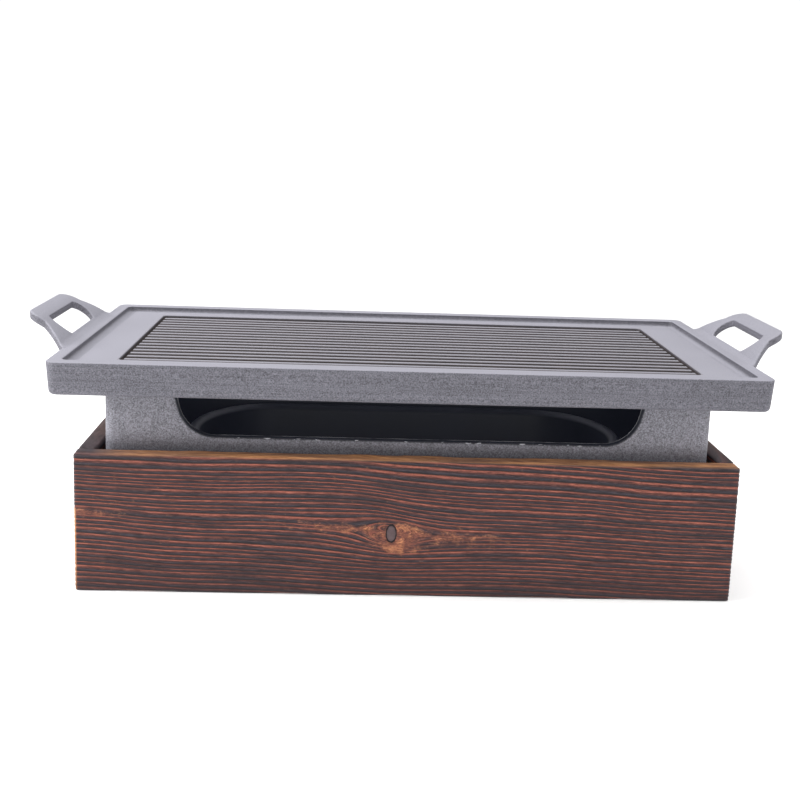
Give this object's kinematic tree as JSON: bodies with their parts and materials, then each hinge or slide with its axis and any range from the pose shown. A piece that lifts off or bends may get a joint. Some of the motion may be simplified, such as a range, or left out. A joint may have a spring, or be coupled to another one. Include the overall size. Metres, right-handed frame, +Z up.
{
  "type": "hibachi grill",
  "caption": "Tabletop hibachi grill: ribbed cast plate with bent end handles on a cast stove body with air windows and a fuel tray, standing in a charred wood box.",
  "frame": {"origin": "on the table, under the middle of the wood box", "axes": "+X along the grill's length, towards the right-hand handle; +Y to the back; +Z up"},
  "size_m": [0.384, 0.155, 0.1292],
  "materials": {
    "plate_coating": "cast aluminium with a satin stone-grey coating",
    "body_coating": "cast aluminium with a fine speckled stone-grey coating outside, black inside",
    "black_enamel": "satin black",
    "charred_wood": "charred and brushed softwood, raised grain",
    "plain_wood": "plain sawn softwood, lightly scorched",
    "brad_steel": "dull wire"
  },
  "bodies": {
    "wood_box": {"front_board": "charred_wood", "back_board": "charred_wood", "left_board": "charred_wood", "right_board": "charred_wood", "shelf_board": "plain_wood", "front_corner_brads": "brad_steel", "back_corner_brads": "brad_steel", "front_shelf_brads": "brad_steel", "back_shelf_brads": "brad_steel", "left_shelf_brads": "brad_steel", "right_shelf_brads": "brad_steel"},
    "stove": {"stove_body": "body_coating"},
    "tray": {"fuel_tray": "black_enamel"},
    "plate": {"grill_plate": "plate_coating"}
  },
  "joints": [
    {"name": "stove_lift", "type": "slide", "parent": "wood_box", "child": "stove", "axis": [0, 0, 1], "range_m": [0, 0.06]},
    {"name": "tray_lift", "type": "slide", "parent": "stove", "child": "tray", "axis": [0, 0, 1], "range_m": [0, 0.08]},
    {"name": "plate_lift", "type": "slide", "parent": "tray", "child": "plate", "axis": [0, 0, 1], "range_m": [0, 0.1]}
  ]
}
